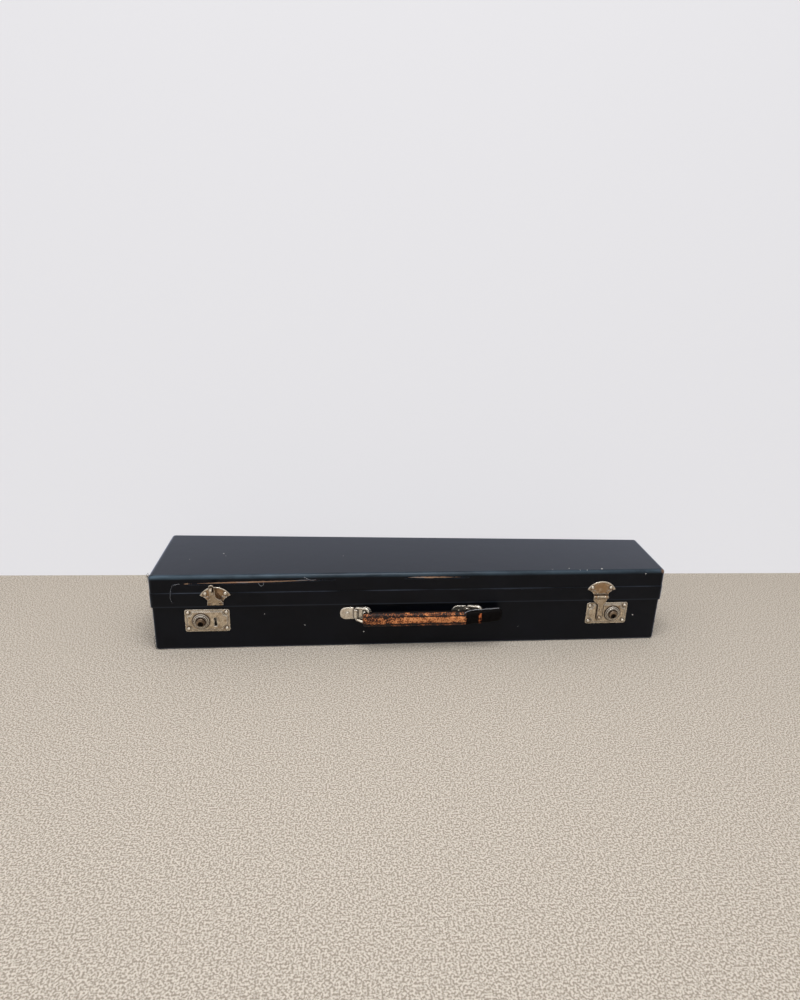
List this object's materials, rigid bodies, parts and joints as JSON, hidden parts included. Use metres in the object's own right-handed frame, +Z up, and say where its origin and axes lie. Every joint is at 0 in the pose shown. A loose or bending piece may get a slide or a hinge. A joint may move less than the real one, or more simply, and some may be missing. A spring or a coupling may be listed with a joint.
{
  "type": "instrument case",
  "caption": "Long, slightly tapered hard case with a hinged lid, two hasp locks on the front and a leather grip on swinging rings",
  "frame": {"origin": "centre of the tapered plan on the floor, in the plane of the flat bottom", "axes": "+X along the case from the wide bell end to the narrow neck end, -Y out of the front with the locks and the handle, +Z up"},
  "size_m": [0.7, 0.1654, 0.11],
  "materials": {
    "leatherette": "grained black leatherette, dull with age",
    "plywood": "bare plywood",
    "plush": "short-pile plush",
    "tan_leather": "worn and cracked tan leather",
    "black_leather": "black leather",
    "rivet_metal": "nickel-plated rivets",
    "steel": "plain steel",
    "worn_nickel": "worn nickel plate with a warm patina"
  },
  "bodies": {
    "base": {"base_back_board": "plywood", "base_bell_end_board": "plywood", "base_bottom_board": "plywood", "base_bottom_covering": "leatherette", "base_floor_lining": "plush", "base_front_board": "plywood", "base_leaf_rivets": "rivet_metal", "base_neck_end_board": "plywood", "base_side_covering": "leatherette", "base_wall_lining": "plush", "bell_block": "plush", "bell_end_base_leaf": "worn_nickel", "bell_end_hinge_pin": "steel", "bell_end_lip": "plywood", "body_block": "plush", "bracket_rivets": "rivet_metal", "front_lip": "plywood", "left_handle_bracket": "worn_nickel", "left_lock_case": "steel", "left_lock_plate": "worn_nickel", "lock_plate_rivets": "rivet_metal", "neck_block": "plush", "neck_end_base_leaf": "worn_nickel", "neck_end_hinge_pin": "steel", "neck_end_lip": "plywood", "right_handle_bracket": "worn_nickel", "right_lock_case": "steel", "right_lock_plate": "worn_nickel"},
    "lid": {"bell_end_lid_leaf": "worn_nickel", "hasp_plate_rivets": "rivet_metal", "left_hasp_pin": "steel", "left_hasp_plate": "worn_nickel", "lid_back_board": "plywood", "lid_band": "leatherette", "lid_bell_end_board": "plywood", "lid_covering": "leatherette", "lid_front_board": "plywood", "lid_leaf_rivets": "rivet_metal", "lid_neck_end_board": "plywood", "lid_top_board": "plywood", "lid_top_lining": "plush", "lid_wall_lining": "plush", "neck_end_lid_leaf": "worn_nickel", "right_hasp_pin": "steel", "right_hasp_plate": "worn_nickel"},
    "left_hasp": {"left_hasp_flap": "worn_nickel", "left_hasp_staple": "worn_nickel"},
    "right_hasp": {"right_hasp_flap": "worn_nickel", "right_hasp_staple": "worn_nickel"},
    "left_plug": {"left_lock_plug": "worn_nickel"},
    "right_plug": {"right_lock_plug": "worn_nickel"},
    "left_bolt": {"left_lock_bolt": "steel"},
    "right_bolt": {"right_lock_bolt": "steel"},
    "left_ring": {"left_handle_ring": "worn_nickel"},
    "right_ring": {"right_handle_ring": "worn_nickel"},
    "grip": {"grip_core": "tan_leather", "grip_cover": "tan_leather", "grip_sleeve": "black_leather"}
  },
  "joints": [
    {"name": "lid_hinge", "type": "hinge", "parent": "base", "child": "lid", "pos_m": [0.00006, 0.0658, 0.06415], "axis": [-0.9997, 0.0229, 0], "range_deg": [0, 105]},
    {"name": "left_hasp_turn", "type": "hinge", "parent": "lid", "child": "left_hasp", "pos_m": [-0.26417, -0.07164, 0.071], "axis": [-0.9997, -0.0229, 0], "range_deg": [-160, 5]},
    {"name": "right_hasp_turn", "type": "hinge", "parent": "lid", "child": "right_hasp", "pos_m": [0.26029, -0.05965, 0.071], "axis": [-0.9997, -0.0229, 0], "range_deg": [0, 165]},
    {"name": "left_plug_turn", "type": "hinge", "parent": "base", "child": "left_plug", "pos_m": [-0.28513, -0.06752, 0.0435], "axis": [-0.0229, 0.9997, 0], "range_deg": [0, 90]},
    {"name": "left_bolt_slide", "type": "slide", "parent": "base", "child": "left_bolt", "axis": [0.9997, 0.0229, 0], "range_m": [0, 0.00453]},
    {"name": "right_plug_turn", "type": "hinge", "parent": "base", "child": "right_plug", "pos_m": [0.28113, -0.05457, 0.0435], "axis": [0.0229, -0.9997, 0], "range_deg": [0, 90]},
    {"name": "right_bolt_slide", "type": "slide", "parent": "base", "child": "right_bolt", "axis": [-0.9997, -0.0229, 0], "range_m": [0, 0.00453]},
    {"name": "handle_swing", "type": "hinge", "parent": "base", "child": "left_ring", "pos_m": [-0.07963, -0.06482, 0.051], "axis": [0, 0, -1], "range_deg": [0, 120]},
    {"name": "right_ring_swing", "type": "hinge", "parent": "base", "child": "right_ring", "pos_m": [0.07333, -0.06132, 0.051], "axis": [0, 0, -1], "range_deg": [0, 120]},
    {"name": "grip_turn", "type": "hinge", "parent": "left_ring", "child": "grip", "pos_m": [-0.06297, -0.07394, 0.051], "axis": [0, 0, -1], "range_deg": [-120, 0]}
  ],
  "couplings": [
    {"joint": "left_bolt_slide", "follows": "left_plug_turn", "m_per_rad": 0.002881},
    {"joint": "right_bolt_slide", "follows": "right_plug_turn", "m_per_rad": 0.002881},
    {"joint": "right_ring_swing", "follows": "handle_swing", "ratio": 1},
    {"joint": "grip_turn", "follows": "handle_swing", "ratio": -1}
  ]
}
